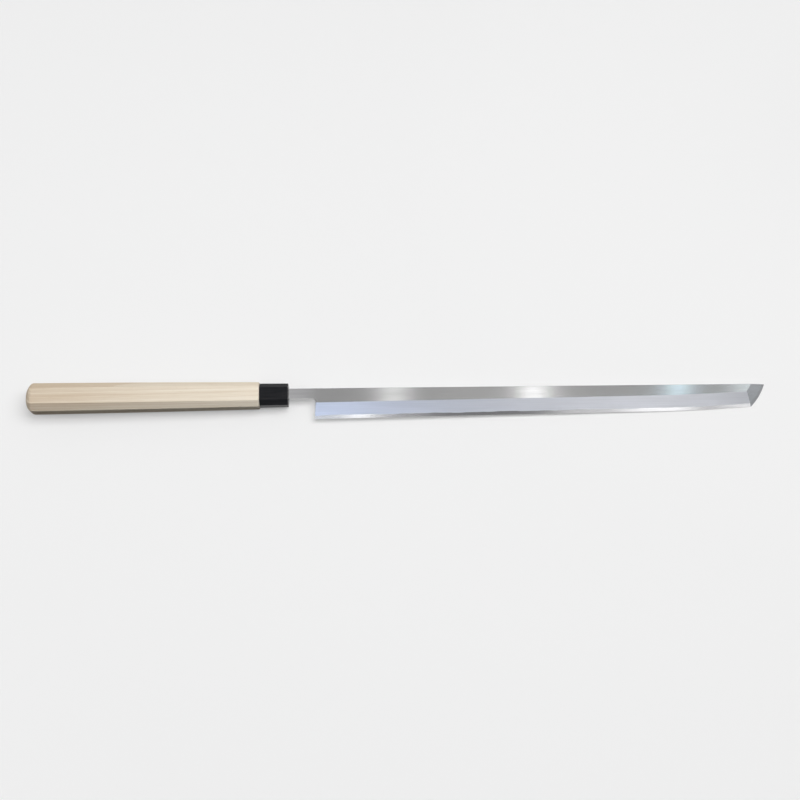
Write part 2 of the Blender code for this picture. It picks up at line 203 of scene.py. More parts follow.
class Shell:
    """Closed mesh put together from sheets of points. Points that meet become one vertex."""

    def __init__(self):
        self.bm = bmesh.new()
        self.layer = self.bm.faces.layers.int.new("patch")
        self.patches = []

    def face(self, patch, points, finish):
        if patch not in self.patches:
            self.patches.append(patch)
        made = self.bm.faces.new(points)
        made[self.layer] = self.patches.index(patch)
        made.material_index = finish
        made.smooth = True

    def sheet(self, patch, rows, finish=0, ring=False):
        """Quads between rows of points. The borders between patches are sharp."""
        verts = [[self.bm.verts.new(point) for point in row] for row in rows]
        for near, far in zip(verts, verts[1:]):
            for i in range(len(near) if ring else len(near) - 1):
                j = (i + 1) % len(near)
                self.face(patch, (near[i], near[j], far[j], far[i]), finish)

    def cap(self, patch, ring):
        self.face(patch, [self.bm.verts.new(point) for point in ring], 0)

    def build(self, name, node, slot, finishes):
        """Make the object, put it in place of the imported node, and let it ride on the body."""
        bmesh.ops.remove_doubles(self.bm, verts=self.bm.verts, dist=MERGE_REACH)
        for face in [face for face in self.bm.faces if face.calc_area() < MERGE_REACH ** 2]:
            longest = max(face.edges, key=lambda edge: edge.calc_length())
            bmesh.ops.dissolve_edges(self.bm, edges=[longest])
        bmesh.ops.recalc_face_normals(self.bm, faces=self.bm.faces)
        for edge in self.bm.edges:
            if len(edge.link_faces) != 2:
                raise ValueError(f"{name} is open at {edge.verts[0].co[:]}")
            edge.smooth = len({face[self.layer] for face in edge.link_faces}) == 1
        bmesh.ops.translate(self.bm, verts=self.bm.verts, vec=SHIFT)
        mesh = bpy.data.meshes.new(name)
        self.bm.to_mesh(mesh)
        self.bm.free()
        for finish in finishes:
            mesh.materials.append(finish)
        made = bpy.data.objects.new(name, mesh)
        bpy.context.scene.collection.objects.link(made)
        weighted = made.modifiers.new("even_normals", "WEIGHTED_NORMAL")
        weighted.keep_sharp = True
        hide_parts(node)
        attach(made, "root")


# Surfaces of the blade

def along_blade(x):
    """0 at the heel, 1 at the point."""
    return (x - X_HEEL) / BLADE_LENGTH


def spine_y(x):
    return SPINE_ABOVE_AXIS - SPINE_DROP * max(0.0, along_blade(x))


def edge_y(x):
    belly = BELLY_RISE * (max(0.0, x - X_BELLY) / BELLY_LENGTH) ** 2
    return Y_HEEL_EDGE + EDGE_RISE * along_blade(x) + belly


def ridge_y(x):
    return edge_y(x) + BEVEL_WIDTH


def face_z(x):
    thickness = mix(HEEL_THICKNESS, TIP_THICKNESS, max(0.0, along_blade(x)))
    return Z_BACK + thickness


def bevel_slope(x):
    return (face_z(x) - Z_BACK) / BEVEL_WIDTH


def weld_z(x):
    """Where the hard steel meets the soft iron, a little wavy as forging leaves it."""
    wave = sum(height * math.sin(2 * math.pi * x / length + phase) for height, length, phase in WELD_WAVES)
    plane = mix(STEEL_AT_HEEL, STEEL_AT_TIP, along_blade(x))
    return Z_BACK + plane + bevel_slope(x) * wave


def tip_arc():
    """Centre of the tip's arc, and its angles at the corner and at the point."""
    corner = Vector((X_CORNER, edge_y(X_CORNER)))
    point = Vector((X_POINT, spine_y(X_POINT) - SPINE_EASE))
    chord = point - corner
    to_centre = math.sqrt(TIP_RADIUS ** 2 - chord.length_squared / 4)
    centre = (corner + point) / 2 + Vector((-chord.y, chord.x)).normalized() * to_centre
    return centre, *[math.atan2(end.y - centre.y, end.x - centre.x) for end in (corner, point)]


TIP_CENTRE, CORNER_ANGLE, POINT_ANGLE = tip_arc()


def tip_z(place):
    """Height of the tip's own bevel, a cone round the centre of its arc."""
    inward = TIP_RADIUS - (place - TIP_CENTRE).length
    return Z_BACK + inward * math.tan(TIP_ANGLE)


def hollow_at(x):
    """Middle and half width of the hollow, and its depth there."""
    low = edge_y(x) + EDGE_RIM
    high = spine_y(x) - SPINE_RIM
    half = (high - low) / 2
    inward = clamp(min(x - X_HOLLOW_START, X_HOLLOW_END - x) / RUN_OUT, 0.0, 1.0)
    full = WHEEL_RADIUS - math.sqrt(WHEEL_RADIUS ** 2 - half ** 2)
    depth = full * (1 - (1 - inward) ** 2)
    return (low + high) / 2, math.sqrt(2 * WHEEL_RADIUS * depth - depth ** 2), depth


def back_z(x, y):
    middle, half, depth = hollow_at(x)
    offset = min(abs(y - middle), half)
    return Z_BACK + depth - WHEEL_RADIUS + math.sqrt(WHEEL_RADIUS ** 2 - offset ** 2)


# Heel and choil

HEEL_NORMAL = Vector((NECK_LOW - Y_HEEL_EDGE, -HEEL_SLANT)).normalized()
HEEL_TOP = Vector((X_HEEL + HEEL_SLANT, NECK_LOW))
CHOIL_CENTRE = Vector((
    HEEL_TOP.x - CHOIL_RADIUS * (1 - HEEL_NORMAL.y) / HEEL_NORMAL.x,
    NECK_LOW - CHOIL_RADIUS,
))


def heel_ease(y):
    """Easing of the heel, which fades out towards the edge."""
    low_end = CHOIL_CENTRE.y + CHOIL_RADIUS * HEEL_NORMAL.y
    return SPINE_EASE * clamp((y - Y_HEEL_EDGE) / (low_end - Y_HEEL_EDGE), 0.0, 1.0)


def heel_face_x(y):
    """Where the faces begin at height y: along the eased heel, then round the eased choil."""
    reach = CHOIL_RADIUS + SPINE_EASE
    rise = y - CHOIL_CENTRE.y
    if rise > HEEL_NORMAL.y * reach:
        return CHOIL_CENTRE.x + math.sqrt(max(0.0, reach ** 2 - rise ** 2))
    lean = HEEL_SLANT * (y - NECK_LOW) / (NECK_LOW - Y_HEEL_EDGE)
    return HEEL_TOP.x + lean + heel_ease(y) / HEEL_NORMAL.x


def heel_outward(place):
    spoke = place - CHOIL_CENTRE
    if spoke.y > HEEL_NORMAL.y * spoke.length:
        return -spoke.normalized()
    return -HEEL_NORMAL


# Grid of the blade: each row follows the blade, between two guides

def choil_shares():
    """Shares of the way from the ridge line to the neck's level that space the choil evenly."""
    reach = CHOIL_RADIUS + SPINE_EASE
    first = math.asin(HEEL_NORMAL.y)
    ridge = ridge_y(CHOIL_CENTRE.x)
    top = CHOIL_CENTRE.y + reach
    angles = [mix(first, math.pi / 2, i / (CHOIL_ROWS - 1)) for i in range(CHOIL_ROWS - 1)]
    return [0.0] + [(CHOIL_CENTRE.y + reach * math.sin(a) - ridge) / (top - ridge) for a in angles]


ROWS = [(0, i / EDGE_ROWS) for i in range(EDGE_ROWS)]
ROWS += [(1, i / BEVEL_ROWS) for i in range(BEVEL_ROWS)]
ROWS += [(2, share) for share in choil_shares()]
ROWS += [(3, i / FLAT_ROWS) for i in range(FLAT_ROWS)]
ROWS += [(4, 0.0)]
WELD_ROW = EDGE_ROWS
RIDGE_ROW = WELD_ROW + BEVEL_ROWS
NECK_ROW = RIDGE_ROW + CHOIL_ROWS
TOP_ROW = NECK_ROW + FLAT_ROWS
LOW_RIM_ROW = EDGE_ROWS - 1     # on the back, the hollow lies between these two rows
HIGH_RIM_ROW = TOP_ROW - LOW_RIM_ROW
EVERY_ROW = range(TOP_ROW + 1)


def guides(x):
    """Edge, weld line, ridge line, the neck's level and the spine."""
    edge = edge_y(x)
    ridge = ridge_y(x)
    top = spine_y(x) - SPINE_EASE
    start = CHOIL_CENTRE.x
    neck_share = (NECK_LOW + SPINE_EASE - ridge_y(start)) / (spine_y(start) - SPINE_EASE - ridge_y(start))
    return edge, edge + (weld_z(x) - Z_BACK) / bevel_slope(x), ridge, mix(ridge, top, neck_share), top


def row_y(row, x):
    guide, share = ROWS[row]
    at = guides(x)
    return mix(at[guide], at[guide + 1], share) if share else at[guide]


def heel_start(row):
    """Where a row of the grid begins."""
    if row >= NECK_ROW:
        return CHOIL_CENTRE.x
    x = X_HEEL
    for _ in range(HEEL_ROUNDS):
        x = heel_face_x(row_y(row, x))
    return x


def before_tip_z(row, place):
    if row >= RIDGE_ROW:
        return face_z(place.x)
    return Z_BACK + bevel_slope(place.x) * (place.y - edge_y(place.x))


def tip_line(row):
    """Where a row meets the line that borders the tip's bevel."""
    def over_cone(x):
        place = Vector((x, row_y(row, x)))
        return before_tip_z(row, place) - tip_z(place)
    return bisect(X_HOLLOW_END, X_POINT + TIP_LENGTH, over_cone)


def hollow_stations():
    """Places along the hollow, closer where it runs out."""
    run_out = [RUN_OUT * (i / RUN_OUT_COLUMNS) ** 2 for i in range(RUN_OUT_COLUMNS)]
    start = X_HOLLOW_START + RUN_OUT
    end = X_HOLLOW_END - RUN_OUT
    middle = [mix(start, end, i / HOLLOW_COLUMNS) for i in range(HOLLOW_COLUMNS + 1)]
    return [X_HOLLOW_START + s for s in run_out] + middle + [X_HOLLOW_END - s for s in reversed(run_out)]


def hollow_row_y(row, x):
    """Height of a row on the back: inside the hollow the rows follow its border."""
    middle, half, _ = hollow_at(x)
    low, high = middle - half, middle + half
    if row <= LOW_RIM_ROW:
        return mix(edge_y(x), low, row / LOW_RIM_ROW)
    if row <= HIGH_RIM_ROW:
        return mix(low, high, (row - LOW_RIM_ROW) / (HIGH_RIM_ROW - LOW_RIM_ROW))
    return mix(high, spine_y(x) - SPINE_EASE, (row - HIGH_RIM_ROW) / (TOP_ROW - HIGH_RIM_ROW))


def heel_run(share):
    """Columns of the face and of the back, a share of the way from the heel to the hollow."""
    column, behind = [], []
    for row in EVERY_ROW:
        x = mix(heel_start(row), X_HOLLOW_START, share)
        place = Vector((x, row_y(row, x)))
        column.append(place)
        if share == 0 or row in (0, TOP_ROW):
            behind.append(place)
            continue
        knee = Vector((X_HEEL + HEEL_KNEE, row_y(row, X_HEEL + HEEL_KNEE)))
        pinch = Vector((X_HOLLOW_START, hollow_row_y(row, X_HOLLOW_START)))
        past_knee = (share * HEEL_COLUMNS - 1) / (HEEL_COLUMNS - 1)
        behind.append(mix(knee, pinch, past_knee))
    return column, behind


def tip_run(share):
    """Columns of the face and of the back, a share of the way from the hollow to the tip's bevel."""
    column, behind = [], []
    for row in EVERY_ROW:
        end = tip_line(row)
        x = mix(X_HOLLOW_END, end, share)
        place = Vector((x, row_y(row, x)))
        column.append(place)
        if row in (0, TOP_ROW):
            behind.append(place)
            continue
        pinch = Vector((X_HOLLOW_END, hollow_row_y(row, X_HOLLOW_END)))
        behind.append(mix(pinch, Vector((end, row_y(row, end))), share))
    return column, behind


def tip_borders(line):
    """Where the hard steel comes out on the tip's bevel, and its edge, for the rows of its first column."""
    rim, arc = [], []
    for row, place in enumerate(line):
        share = (place.y - line[0].y) / (line[-1].y - line[0].y)
        angle = mix(CORNER_ANGLE, POINT_ANGLE, share)
        end = TIP_CENTRE + TIP_RADIUS * Vector((math.cos(angle), math.sin(angle)))
        arc.append(end)
        if row <= WELD_ROW:
            rim.append(place)
            continue

        def over_weld(way):
            at = mix(place, end, way)
            return weld_z(at.x) - tip_z(at)
        rim.append(mix(place, end, bisect(0.0, 1.0, over_weld)))
    return rim, arc


def blade_grid():
    """Columns of places on the face and on the back, and where the tip's bevel and its rim begin."""
    columns = [heel_run(i / HEEL_COLUMNS) for i in range(HEEL_COLUMNS)]
    for x in hollow_stations():
        column = [Vector((x, row_y(row, x))) for row in EVERY_ROW]
        behind = [Vector((x, hollow_row_y(row, x))) for row in EVERY_ROW]
        columns.append((column, behind))
    columns += [tip_run(i / TIP_RUN_COLUMNS) for i in range(1, TIP_RUN_COLUMNS + 1)]
    face = [column for column, _ in columns]
    back = [behind for _, behind in columns]

    line = face[-1]
    facet_start = len(face) - 1
    rim, arc = tip_borders(line)
    for i in range(1, FACET_COLUMNS + 1):
        face.append([mix(a, b, i / FACET_COLUMNS) for a, b in zip(line, rim)])
    facet_rim = len(face) - 1
    for i in range(1, FACET_RIM_COLUMNS + 1):
        face.append([mix(a, b, i / FACET_RIM_COLUMNS) for a, b in zip(rim, arc)])
    back += face[facet_start + 1:]
    return face, back, facet_start, facet_rim


# Neck and tang

def tang_height(x):
    if x >= X_CAP:
        return mix(NECK_HEIGHT, TANG_HEIGHT, clamp((X_FERRULE_FRONT - x) / FERRULE_CAP, 0.0, 1.0))
    return mix(TANG_HEIGHT, TANG_END_HEIGHT, (X_CAP - x) / (X_CAP - X_TANG_END))


def inside_handle(x):
    return clamp((X_FERRULE_FRONT - x) / TANG_LENGTH, 0.0, 1.0)


def tang_mid(x):
    return mix(NECK_MID, 0.0, inside_handle(x))


def tang_half_thickness(x):
    return mix(HEEL_THICKNESS, TANG_END_THICKNESS, inside_handle(x)) / 2


def neck_column(x, nose=1.0):
    """Places on the faces of neck and tang, from below to the spine. The nose narrows the end."""
    half = tang_height(x) / 2 * nose - SPINE_EASE
    return [Vector((x, tang_mid(x) + mix(-half, half, i / FLAT_ROWS))) for i in range(FLAT_ROWS + 1)]


def rim_points(place, outward, ease, top, weld, back):
    """Points round an eased rim, from the face to the back, for the iron and for the steel.

    Without a weld the iron goes through to the back, and there is no steel.
    """
    def at(reach, z):
        return (place.x + outward.x * reach, place.y + outward.y * reach, z)

    ease = min(ease, (top - back) / 2)
    if weld is None:
        return [at(0, top), at(ease, top - ease), at(ease, back + ease), at(0, back)], None
    eased = min(ease, max(0.0, top - weld))
    iron = [at(0, top), at(eased, top - eased), at(eased, weld), at(0, weld)]
    upper = min(top, weld)
    side = min(top - ease, weld)
    steel = [at(0, upper), at(eased, upper), at(ease, side), at(ease, back + ease), at(0, back)]
    return iron, steel


UP = Vector((0.0, 1.0))

# Numbers of the finishes on the iron and on the steel
FLAT, BEVEL, TIP = range(3)
EDGE, HOLLOW, RIM = range(3)


def lift(column, height):
    """Give places a height, found from each row and place."""
    return [(place.x, place.y, height(row, place)) for row, place in enumerate(column)]


def rows_of(columns, first, last):
    return [column[first:last + 1] for column in columns]


def strips(shell, rims, patches):
    """One sheet between each two neighbouring points of the rims."""
    for index, patch in enumerate(patches):
        shell.sheet(patch, [points[index:index + 2] for points in rims])


class Blade:
    """Points of the two welded layers, in columns from the end of the tang to the point of the blade."""

    def __init__(self):
        self.face, back, self.facet_start, self.facet_rim = blade_grid()
        self.hollow_end = self.facet_start - TIP_RUN_COLUMNS
        facet = self.facet_start + 1
        hollow = slice(HEEL_COLUMNS, self.hollow_end + 1)
        self.tops = [lift(column, before_tip_z) for column in self.face[:facet]]
        self.tops += [lift(column, lambda row, place: tip_z(place)) for column in self.face[facet:]]
        self.welds = [lift(column, lambda row, place: weld_z(place.x)) for column in self.face]
        self.backs = [lift(column, lambda row, place: Z_BACK) for column in back]
        self.backs[hollow] = [lift(column, lambda row, place: back_z(*place)) for column in back[hollow]]

        # Tang and neck: place along the knife, whether steel lies under the iron, and places across
        self.necks = [
            (X_TANG_END, False, neck_column(X_TANG_END, NOSE_SHARE)),
            (X_TANG_NOSE, False, neck_column(X_TANG_NOSE)),
            (X_CAP, False, neck_column(X_CAP)),
            (X_FERRULE_FRONT, False, neck_column(X_FERRULE_FRONT)),
            (X_STEEL_END, False, neck_column(X_STEEL_END)),
            (X_STEEL_END, True, neck_column(X_STEEL_END)),
        ]
        columns = [column for _, _, column in self.necks]
        self.neck_tops = [lift(c, lambda row, place: tang_half_thickness(place.x)) for c in columns]
        self.neck_backs = [lift(c, lambda row, place: -tang_half_thickness(place.x)) for c in columns]
        self.neck_unders = [
            lift(column, lambda row, place: weld_z(place.x)) if has_steel else behind
            for (_, has_steel, column), behind in zip(self.necks, self.neck_backs)
        ]

    def weld_faces(self, shell):
        """The faces that the two layers turn to each other."""
        welds = self.welds[:self.facet_rim + 1]
        shell.sheet("weld", rows_of(welds, WELD_ROW, NECK_ROW))
        shell.sheet("weld", self.neck_unders[-1:] + rows_of(welds, NECK_ROW, TOP_ROW))

    def iron_faces(self, iron):
        tops = self.tops[:self.facet_start + 1]
        facet = self.tops[self.facet_start:self.facet_rim + 1]
        iron.sheet("bevel", rows_of(tops, WELD_ROW, RIDGE_ROW), BEVEL)
        iron.sheet("flat", rows_of(tops, RIDGE_ROW, NECK_ROW), FLAT)
        iron.sheet("flat", self.neck_tops + rows_of(tops, NECK_ROW, TOP_ROW), FLAT)
        iron.sheet("tip", rows_of(facet, WELD_ROW, TOP_ROW), TIP)
        self.weld_faces(iron)
        iron.sheet("step", self.neck_unders[-2:])
        iron.sheet("neck_back", self.neck_unders[:-1])

    def steel_faces(self, steel):
        backs = self.backs
        steel.sheet("edge", rows_of(self.tops[:self.facet_start + 1], 0, WELD_ROW), EDGE)
        steel.sheet("tip", rows_of(self.tops[self.facet_rim:], 0, TOP_ROW), EDGE)
        self.weld_faces(steel)
        steel.sheet("rim", rows_of(backs, 0, LOW_RIM_ROW), RIM)
        steel.sheet("rim", rows_of(backs[:HEEL_COLUMNS + 1], LOW_RIM_ROW, HIGH_RIM_ROW), RIM)
        hollow = backs[HEEL_COLUMNS:self.hollow_end + 1]
        steel.sheet("hollow", rows_of(hollow, LOW_RIM_ROW, HIGH_RIM_ROW), HOLLOW)
        steel.sheet("rim", rows_of(backs[self.hollow_end:], LOW_RIM_ROW, HIGH_RIM_ROW), RIM)
        steel.sheet("rim", rows_of(backs, HIGH_RIM_ROW, TOP_ROW), RIM)
        steel.sheet("rim", self.neck_backs[-1:] + rows_of(backs[:1], NECK_ROW, TOP_ROW), RIM)

    def neck_rims(self, side, outward):
        """Rims along one side of tang and neck, by the first or the last place of each column."""
        rims = []
        for x, has_steel, column in self.necks:
            half = tang_half_thickness(x)
            weld = weld_z(x) if has_steel else None
            rims.append(rim_points(column[side], outward, SPINE_EASE, half, weld, -half))
        return rims

    def heel_rims(self):
        """Rims along the heel and round the choil, from the edge to the neck."""
        rims = []
        for row in range(NECK_ROW + 1):
            place = self.face[0][row]
            top, weld = self.tops[0][row][2], self.welds[0][row][2]
            rims.append(rim_points(place, heel_outward(place), heel_ease(place.y), top, weld, Z_BACK))
        return rims

    def spine_rims(self):
        return [
            rim_points(column[-1], UP, SPINE_EASE, top[-1][2], weld[-1][2], Z_BACK)
            for column, top, weld in zip(self.face, self.tops, self.welds)
        ]

    def close(self, iron, steel):
        """Rims round both layers, and the ends of tang and steel."""
        low, high = self.neck_rims(0, -UP), self.neck_rims(-1, UP)
        heel, spine = self.heel_rims(), self.spine_rims()
        iron_low = [points for points, _ in heel[WELD_ROW:] + low[::-1]]
        iron_high = [points for points, _ in high + spine[:self.facet_rim + 1]]
        strips(iron, iron_low, ("ease_low", "wall_low", "weld"))
        strips(iron, iron_high, ("ease_high", "wall_high", "weld"))
        steel_low = [points for _, points in heel + low[-1:]]
        steel_high = [points for _, points in high[-1:] + spine]
        strips(steel, steel_low, ("weld", "ease_low", "wall_low", "back_ease_low"))
        strips(steel, steel_high, ("weld", "ease_high", "wall_high", "back_ease_high"))

        tang_low, tang_high = low[0][0], high[0][0]
        iron.cap("end", self.neck_tops[0] + tang_high[1:3] + self.neck_backs[0][::-1] + tang_low[2:0:-1])
        end_low, end_high = low[-1][1], high[-1][1]
        steel.cap("end", self.neck_unders[-1] + end_high[1:4] + self.neck_backs[-1][::-1] + end_low[3:0:-1])


def build_blade(flat, bevel, tip, edge, hollow, rim):
    """Both layers, with the iron's three finishes and then the steel's."""
    blade = Blade()
    iron, steel = Shell(), Shell()
    blade.iron_faces(iron)
    blade.steel_faces(steel)
    blade.close(iron, steel)
    iron.build("iron_blade", "blade_core", "soft_iron", (flat, bevel, tip))
    steel.build("steel_edge", "edge_steel", "hard_steel", (edge, hollow, rim))


# Handle and ferrule

def octagon(x, width, depth, chamfer, rounding, inset=0.0, mid=0.0):
    """Ring round an octagon at x, drawn in by the inset, each of its eight corners a short arc."""
    half_y = width / 2 - inset
    half_z = depth / 2 - inset
    leg = chamfer - (2 - math.sqrt(2)) * inset
    first = [(half_y, half_z - leg), (half_y - leg, half_z)]
    second = [(-y, z) for y, z in reversed(first)]
    corners = first + second + [(-y, -z) for y, z in first + second]
    eighth = math.pi / 4
    ring = []
    for index, (y, z) in enumerate(corners):
        middle = (index + 0.5) * eighth
        reach = rounding / math.cos(eighth / 2)
        centre_y = mid + y - reach * math.cos(middle)
        centre_z = z - reach * math.sin(middle)
        for step in range(CORNER_STEPS + 1):
            angle = (index + step / CORNER_STEPS) * eighth
            ring.append((x, centre_y + rounding * math.cos(angle), centre_z + rounding * math.sin(angle)))
    return ring


def circle(x, radius):
    count = 8 * (CORNER_STEPS + 1)
    angles = [(i + 0.5) * 2 * math.pi / count for i in range(count)]
    return [(x, radius * math.cos(angle), radius * math.sin(angle)) for angle in angles]


def slot_ring(x):
    """Ring of the slot and of the pocket, a little wider than the tang there."""
    height = tang_height(x) + 2 * SLOT_GAP
    thickness = 2 * (tang_half_thickness(x) + SLOT_GAP)
    return octagon(x, height, thickness, SLOT_CHAMFER, SLOT_ROUNDING, mid=tang_mid(x))


def handle_ring(x, inset=0.0):
    share = (x - BUTT_DOME) / (HANDLE_LENGTH - BUTT_DOME)
    swell = 2 * HANDLE_SWELL * 4 * share * (1 - share)
    width = mix(BUTT_WIDTH, FRONT_WIDTH, share) + swell
    depth = mix(BUTT_DEPTH, FRONT_DEPTH, share) + swell
    chamfer = mix(BUTT_CHAMFER, FRONT_CHAMFER, share)
    return octagon(x, width, depth, chamfer, WOOD_ROUNDING, inset)


def dome_ring(angle):
    scale = math.cos(angle)
    softest = DOME_SOFTNESS * (BUTT_CHAMFER / math.sqrt(2)) / math.tan(math.pi / 8)
    rounding = mix(WOOD_ROUNDING, softest, math.sin(angle) ** 2) * scale
    x = BUTT_DOME * (1 - math.sin(angle))
    return octagon(x, BUTT_WIDTH * scale, BUTT_DEPTH * scale, BUTT_CHAMFER * scale, rounding)


def build_handle(wood):
    shell = Shell()
    dome = [dome_ring(DOME_END * i / DOME_STEPS) for i in range(DOME_STEPS, 0, -1)]
    x_rim = HANDLE_LENGTH - RIM_CHAMFER
    faces = [handle_ring(mix(BUTT_DOME, x_rim, i / HANDLE_STEPS)) for i in range(HANDLE_STEPS + 1)]
    shoulder = handle_ring(HANDLE_LENGTH, RIM_CHAMFER)
    x_tenon = X_CAP - FIT_GAP
    tenon = [circle(HANDLE_LENGTH, TENON_RADIUS), circle(x_tenon, TENON_RADIUS)]
    pocket = [slot_ring(x_tenon), slot_ring(X_TANG_NOSE), slot_ring(X_TANG_END - SLOT_GAP)]
    shell.cap("outside", dome[0])
    shell.sheet("outside", dome + faces, ring=True)
    shell.sheet("rim", [faces[-1], shoulder], ring=True)
    shell.sheet("shoulder", [shoulder, tenon[0]], ring=True)
    shell.sheet("tenon", tenon, ring=True)
    shell.sheet("tenon_end", [tenon[-1], pocket[0]], ring=True)
    shell.sheet("pocket", pocket, ring=True)
    shell.cap("pocket_end", pocket[-1])
    shell.build("wood_handle", "handle", "wood", (wood,))


def ferrule_ring(x, inset=0.0):
    share = (x - X_FERRULE_BACK) / FERRULE_LENGTH
    width = mix(FERRULE_BACK_WIDTH, FERRULE_FRONT_WIDTH, share)
    depth = mix(FERRULE_BACK_DEPTH, FERRULE_FRONT_DEPTH, share)
    return octagon(x, width, depth, FERRULE_CHAMFER, FERRULE_ROUNDING, inset)


def build_ferrule(horn):
    shell = Shell()
    bore = [circle(X_CAP, BORE_RADIUS), circle(X_FERRULE_BACK, BORE_RADIUS)]
    rim = []
    for i in range(RIM_STEPS + 1):
        angle = math.pi / 2 * i / RIM_STEPS
        x = X_FERRULE_FRONT - FERRULE_ROUNDING * (1 - math.sin(angle))
        rim.append(ferrule_ring(x, FERRULE_ROUNDING * (1 - math.cos(angle))))
    slot = [slot_ring(X_FERRULE_FRONT), slot_ring(X_CAP)]
    shell.sheet("bore", bore, ring=True)
    shell.sheet("back", [bore[-1], ferrule_ring(X_FERRULE_BACK)], ring=True)
    shell.sheet("outside", [ferrule_ring(X_FERRULE_BACK)] + rim, ring=True)
    shell.sheet("outside", [rim[-1], slot[0]], ring=True)
    shell.sheet("slot", slot, ring=True)
    shell.sheet("floor", [slot[-1], bore[0]], ring=True)
    shell.build("horn_ferrule", "ferrule", "horn", (horn,))


# Helpers for node trees

def joined(tree, operation, sources):
    """Sources combined one after the other, by an operation of the Math node."""
    total = sources[0]
    for source in sources[1:]:
        node = tree.nodes.new("ShaderNodeMath")
        node.operation = operation
        tree.links.new(total, node.inputs[0])
        tree.links.new(source, node.inputs[1])
        total = node.outputs[0]
    return total


def map_range(tree, source, low, high, to_low=0.0, to_high=1.0):
    """Value moved from the range low to high into the range to_low to to_high."""
    node = tree.nodes.new("ShaderNodeMapRange")
    for socket, value in zip(("From Min", "From Max", "To Min", "To Max"), (low, high, to_low, to_high)):
        node.inputs[socket].default_value = value
    tree.links.new(source, node.inputs["Value"])
    return node.outputs["Result"]


def mixed_by(tree, share, first, second):
    """Mix of two levels, as far as the share says. Each is a number or comes from a node."""
    node = tree.nodes.new("ShaderNodeMix")
    tree.links.new(share, node.inputs["Factor"])
    for name, source in (("A", first), ("B", second)):
        if isinstance(source, float):
            node.inputs[name].default_value = source
        else:
            tree.links.new(source, node.inputs[name])
    return node.outputs["Result"]


def colour_ramp(tree, source, stops):
    """Colour from a table of places, from 0 to 1, and colours."""
    node = tree.nodes.new("ShaderNodeValToRGB")
    elements = node.color_ramp.elements
    for _ in stops[2:]:
        elements.new(0.5)
    for element, (place, colour) in zip(elements, stops):
        element.position = place
        element.color = (*colour, 1.0)
    tree.links.new(source, node.inputs["Fac"])
    return node.outputs["Color"]


def level_ramp(tree, source, stops):
    """Level from a table of places, which may reach past 1, and levels."""
    first, last = stops[0][0], stops[-1][0]
    greys = [((place - first) / (last - first), (level, level, level)) for place, level in stops]
    return colour_ramp(tree, map_range(tree, source, first, last), greys)


def seen_directly(tree):
    """1 for what the camera sees, also in a mirror or through glass, and 0 for light on matte surfaces."""
    path = tree.nodes.new("ShaderNodeLightPath")
    rays = ("Is Camera Ray", "Is Glossy Ray", "Is Transmission Ray")
    return joined(tree, "MAXIMUM", [path.outputs[ray] for ray in rays])


# Finishes

# Textures in repeats per metre: along the knife, and twice across it
CLOUDS = (14, 120, 120)
POLISHING_LINES = (9, 1300, 1300)
GROWTH_RINGS = (3, 105, 105)
GROWTH_BANDS = (2.2, 90, 90)
FIBRES = (22, 1500, 1500)
PORES = (160, 2600, 2600)
HORN_STREAKS = (30, 420, 420)
HORN_GRAIN = (90, 2200, 2200)
RINGS_SHIFT = (0.0, 5.5, 4.4)   # the middle of the growth rings lies outside the handle
NOISE_RANGE = (0.3, 0.7)        # most values of a noise texture lie between these

# Steel: dark and bright tone, roughness of the bright and of the dark, depth of the polishing lines
STEELS = {
    "polished_flat": ((0.58, 0.58, 0.58), (0.66, 0.66, 0.66), 0.10, 0.12, 0.0002 * MM),
    "hazy_bevel": ((0.49, 0.50, 0.53), (0.57, 0.58, 0.62), 0.30, 0.36, 0.0008 * MM),
    "polished_tip": ((0.62, 0.63, 0.65), (0.68, 0.69, 0.71), 0.15, 0.20, 0.0002 * MM),
    "bright_edge": ((0.56, 0.56, 0.57), (0.62, 0.62, 0.63), 0.11, 0.14, 0.0002 * MM),
    "hollow_back": ((0.66, 0.67, 0.69), (0.74, 0.75, 0.77), 0.14, 0.19, 0.0002 * MM),
    "flat_rim": ((0.70, 0.71, 0.73), (0.76, 0.77, 0.79), 0.10, 0.14, 0.0002 * MM),
}


